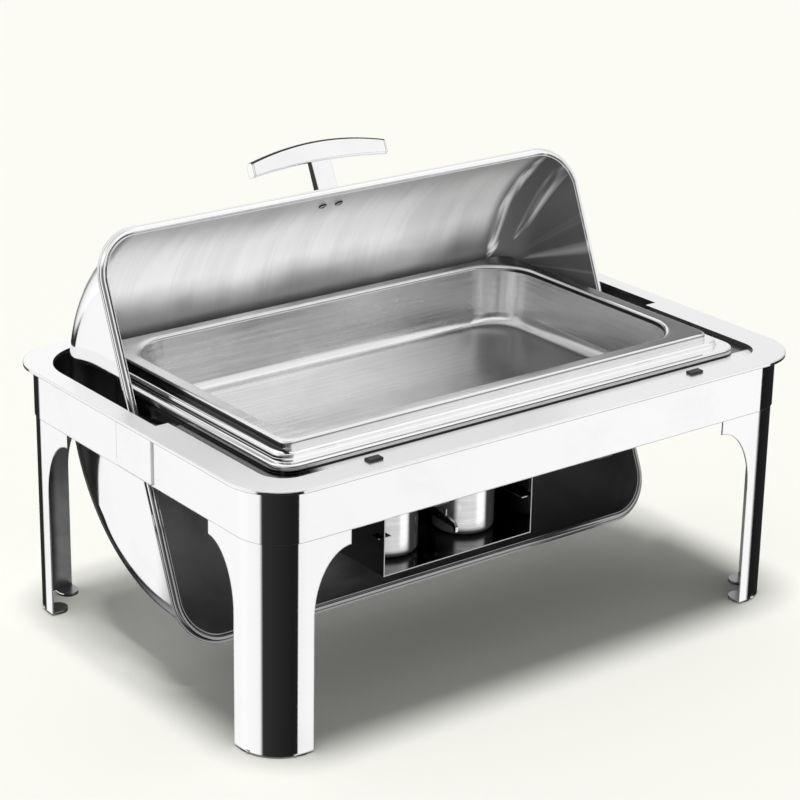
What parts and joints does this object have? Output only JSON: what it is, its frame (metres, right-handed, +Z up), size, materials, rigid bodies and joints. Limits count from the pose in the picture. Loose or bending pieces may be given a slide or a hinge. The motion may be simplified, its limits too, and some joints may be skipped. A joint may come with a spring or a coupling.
{
  "type": "roll top chafer",
  "caption": "Stainless buffet chafer: half-round lid rolling back on side pivots over a full-size food pan and water pan, on a legged frame with fuel burners.",
  "frame": {"origin": "on the floor, under the centre of the frame's flange", "axes": "+Z up, +X along the long side to the user's right, -Y towards the user at the front"},
  "size_m": [0.676, 0.464, 0.4599],
  "materials": {
    "mirror_steel": "mirror polish",
    "satin_steel": "satin",
    "dark_steel": "plain",
    "zinc_steel": "bright zinc",
    "rubber": "matt"
  },
  "bodies": {
    "frame": {"frame_ring": "mirror_steel", "pan_ring": "dark_steel", "leg_front_left": "mirror_steel", "leg_front_right": "mirror_steel", "leg_rear_left": "mirror_steel", "leg_rear_right": "mirror_steel", "foot_pads": "rubber", "pivot_bolts": "zinc_steel", "pivot_spacers": "zinc_steel", "pivot_washers": "zinc_steel", "pivot_nuts": "zinc_steel", "fuel_tray": "mirror_steel", "burner_shelf": "mirror_steel", "tray_screws": "zinc_steel", "lid_bumper_left": "rubber", "lid_bumper_right": "rubber", "hinge_cover_left": "mirror_steel", "hinge_cover_right": "mirror_steel", "hanger_left": "dark_steel", "hanger_right": "dark_steel"},
    "lid": {"lid_shell": "mirror_steel", "arm_rivets": "zinc_steel", "handle_stem": "mirror_steel", "handle_grip": "mirror_steel", "handle_screws": "zinc_steel", "hinge_arm_left": "satin_steel", "hinge_arm_right": "satin_steel", "grip_cap_left": "mirror_steel", "grip_cap_right": "mirror_steel"},
    "water_pan": {"water_pan": "mirror_steel"},
    "food_pan": {"food_pan": "satin_steel"},
    "burner_left": {"burner_cup_left": "mirror_steel", "burner_handle_left": "satin_steel", "cover_pin_left": "zinc_steel"},
    "burner_cover_left": {"burner_cover_left": "mirror_steel"},
    "burner_right": {"burner_cup_right": "mirror_steel", "burner_handle_right": "satin_steel", "cover_pin_right": "zinc_steel"},
    "burner_cover_right": {"burner_cover_right": "mirror_steel"}
  },
  "joints": [
    {"name": "lid_roll", "type": "hinge", "parent": "frame", "child": "lid", "pos_m": [0, 0, 0.2435], "axis": [-1, 0, 0], "range_deg": [-112.7, 42]},
    {"name": "water_pan_lift", "type": "slide", "parent": "frame", "child": "water_pan", "axis": [0, 0, 1], "range_m": [0, 0.02]},
    {"name": "food_pan_lift", "type": "slide", "parent": "water_pan", "child": "food_pan", "axis": [0, 0, 1], "range_m": [0, 0.06]},
    {"name": "burner_slide_left", "type": "slide", "parent": "frame", "child": "burner_left", "axis": [0, 1, 0], "range_m": [-0.11, 0]},
    {"name": "burner_cover_left_flip", "type": "hinge", "parent": "burner_left", "child": "burner_cover_left", "pos_m": [-0.05, 0.0032, 0.126], "axis": [-1, 0, 0], "range_deg": [0, 65]},
    {"name": "burner_slide_right", "type": "slide", "parent": "frame", "child": "burner_right", "axis": [0, 1, 0], "range_m": [-0.11, 0]},
    {"name": "burner_cover_right_flip", "type": "hinge", "parent": "burner_right", "child": "burner_cover_right", "pos_m": [0.05, 0.0032, 0.126], "axis": [-1, 0, 0], "range_deg": [0, 65]}
  ]
}
